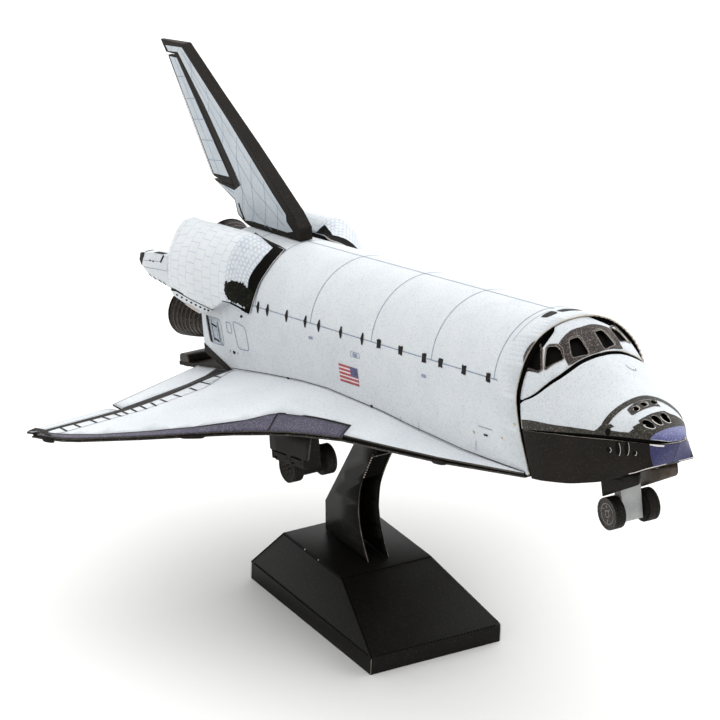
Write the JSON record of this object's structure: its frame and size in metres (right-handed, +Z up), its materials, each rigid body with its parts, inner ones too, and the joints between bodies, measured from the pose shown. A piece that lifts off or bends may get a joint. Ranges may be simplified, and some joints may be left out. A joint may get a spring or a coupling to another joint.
{
  "type": "space shuttle orbiter display model on a stand, about 1:300 scale",
  "caption": "Folded sheet-metal model of a winged space shuttle orbiter with fin, engine bells and lowered landing gear, held nose-up on an arm over a small sloped base.",
  "frame": {"origin": "centre of the bounding box in X and Y, on the surface that the stand rests on", "axes": "+Z up, +Y aft along the model's length, nose towards -Y, starboard towards -X"},
  "size_m": [0.081, 0.1272, 0.0632],
  "materials": {
    "white_sheet": "matt bluish-white print on sheet metal",
    "black_sheet": "satin warm black print on sheet metal",
    "edge_sheet": "satin purple-grey print on sheet metal",
    "nozzle_sheet": "satin black print on sheet metal",
    "grey_sheet": "light grey print on sheet metal",
    "stand_sheet": "satin black coating"
  },
  "bodies": {
    "model": {"fuselage_shell": "white_sheet", "cockpit_bulkhead": "black_sheet", "aft_bulkhead": "black_sheet", "nose_cone_upper": "white_sheet", "cockpit_crown": "white_sheet", "nose_lower": "black_sheet", "belly_and_lower_wings": "black_sheet", "wing_upper_starboard": "white_sheet", "wing_upper_port": "white_sheet", "leading_edge_starboard": "edge_sheet", "leading_edge_port": "edge_sheet", "elevon_inner_starboard": "white_sheet", "elevon_inner_port": "white_sheet", "elevon_outer_starboard": "white_sheet", "elevon_outer_port": "white_sheet", "body_flap": "black_sheet", "fin": "white_sheet", "rudder": "white_sheet", "oms_pod_starboard": "white_sheet", "oms_pod_port": "white_sheet", "rcs_stinger_starboard": "white_sheet", "rcs_stinger_port": "white_sheet", "engine_nozzle_top": "nozzle_sheet", "engine_nozzle_starboard": "nozzle_sheet", "engine_nozzle_port": "nozzle_sheet", "oms_nozzle_starboard": "nozzle_sheet", "oms_nozzle_port": "nozzle_sheet", "nose_gear_door_starboard": "black_sheet", "nose_gear_door_port": "black_sheet", "nose_strut": "grey_sheet", "main_gear_door_starboard": "black_sheet", "main_gear_door_port": "black_sheet", "main_gear_bracket_starboard": "black_sheet", "main_gear_bracket_port": "black_sheet", "main_strut_starboard": "black_sheet", "main_strut_port": "black_sheet", "stand_base": "stand_sheet", "stand_bottom_plate": "stand_sheet", "stand_arm_cheek_starboard": "stand_sheet", "stand_arm_cheek_port": "stand_sheet", "stand_arm_spine": "stand_sheet", "stand_arm_web": "stand_sheet"},
    "nose_wheels": {"nose_wheels": "black_sheet"},
    "main_wheels_starboard": {"main_wheels_starboard": "black_sheet"},
    "main_wheels_port": {"main_wheels_port": "black_sheet"}
  },
  "joints": [
    {"name": "nose_wheels_spin", "type": "hinge", "parent": "model", "child": "nose_wheels", "pos_m": [0, -0.05365, 0.0403], "axis": [1, 0, 0], "continuous": true},
    {"name": "main_wheels_starboard_spin", "type": "hinge", "parent": "model", "child": "main_wheels_starboard", "pos_m": [-0.0112, 0.00302, 0.02456], "axis": [1, 0, 0], "continuous": true},
    {"name": "main_wheels_port_spin", "type": "hinge", "parent": "model", "child": "main_wheels_port", "pos_m": [0.0112, 0.00302, 0.02456], "axis": [1, 0, 0], "continuous": true}
  ]
}
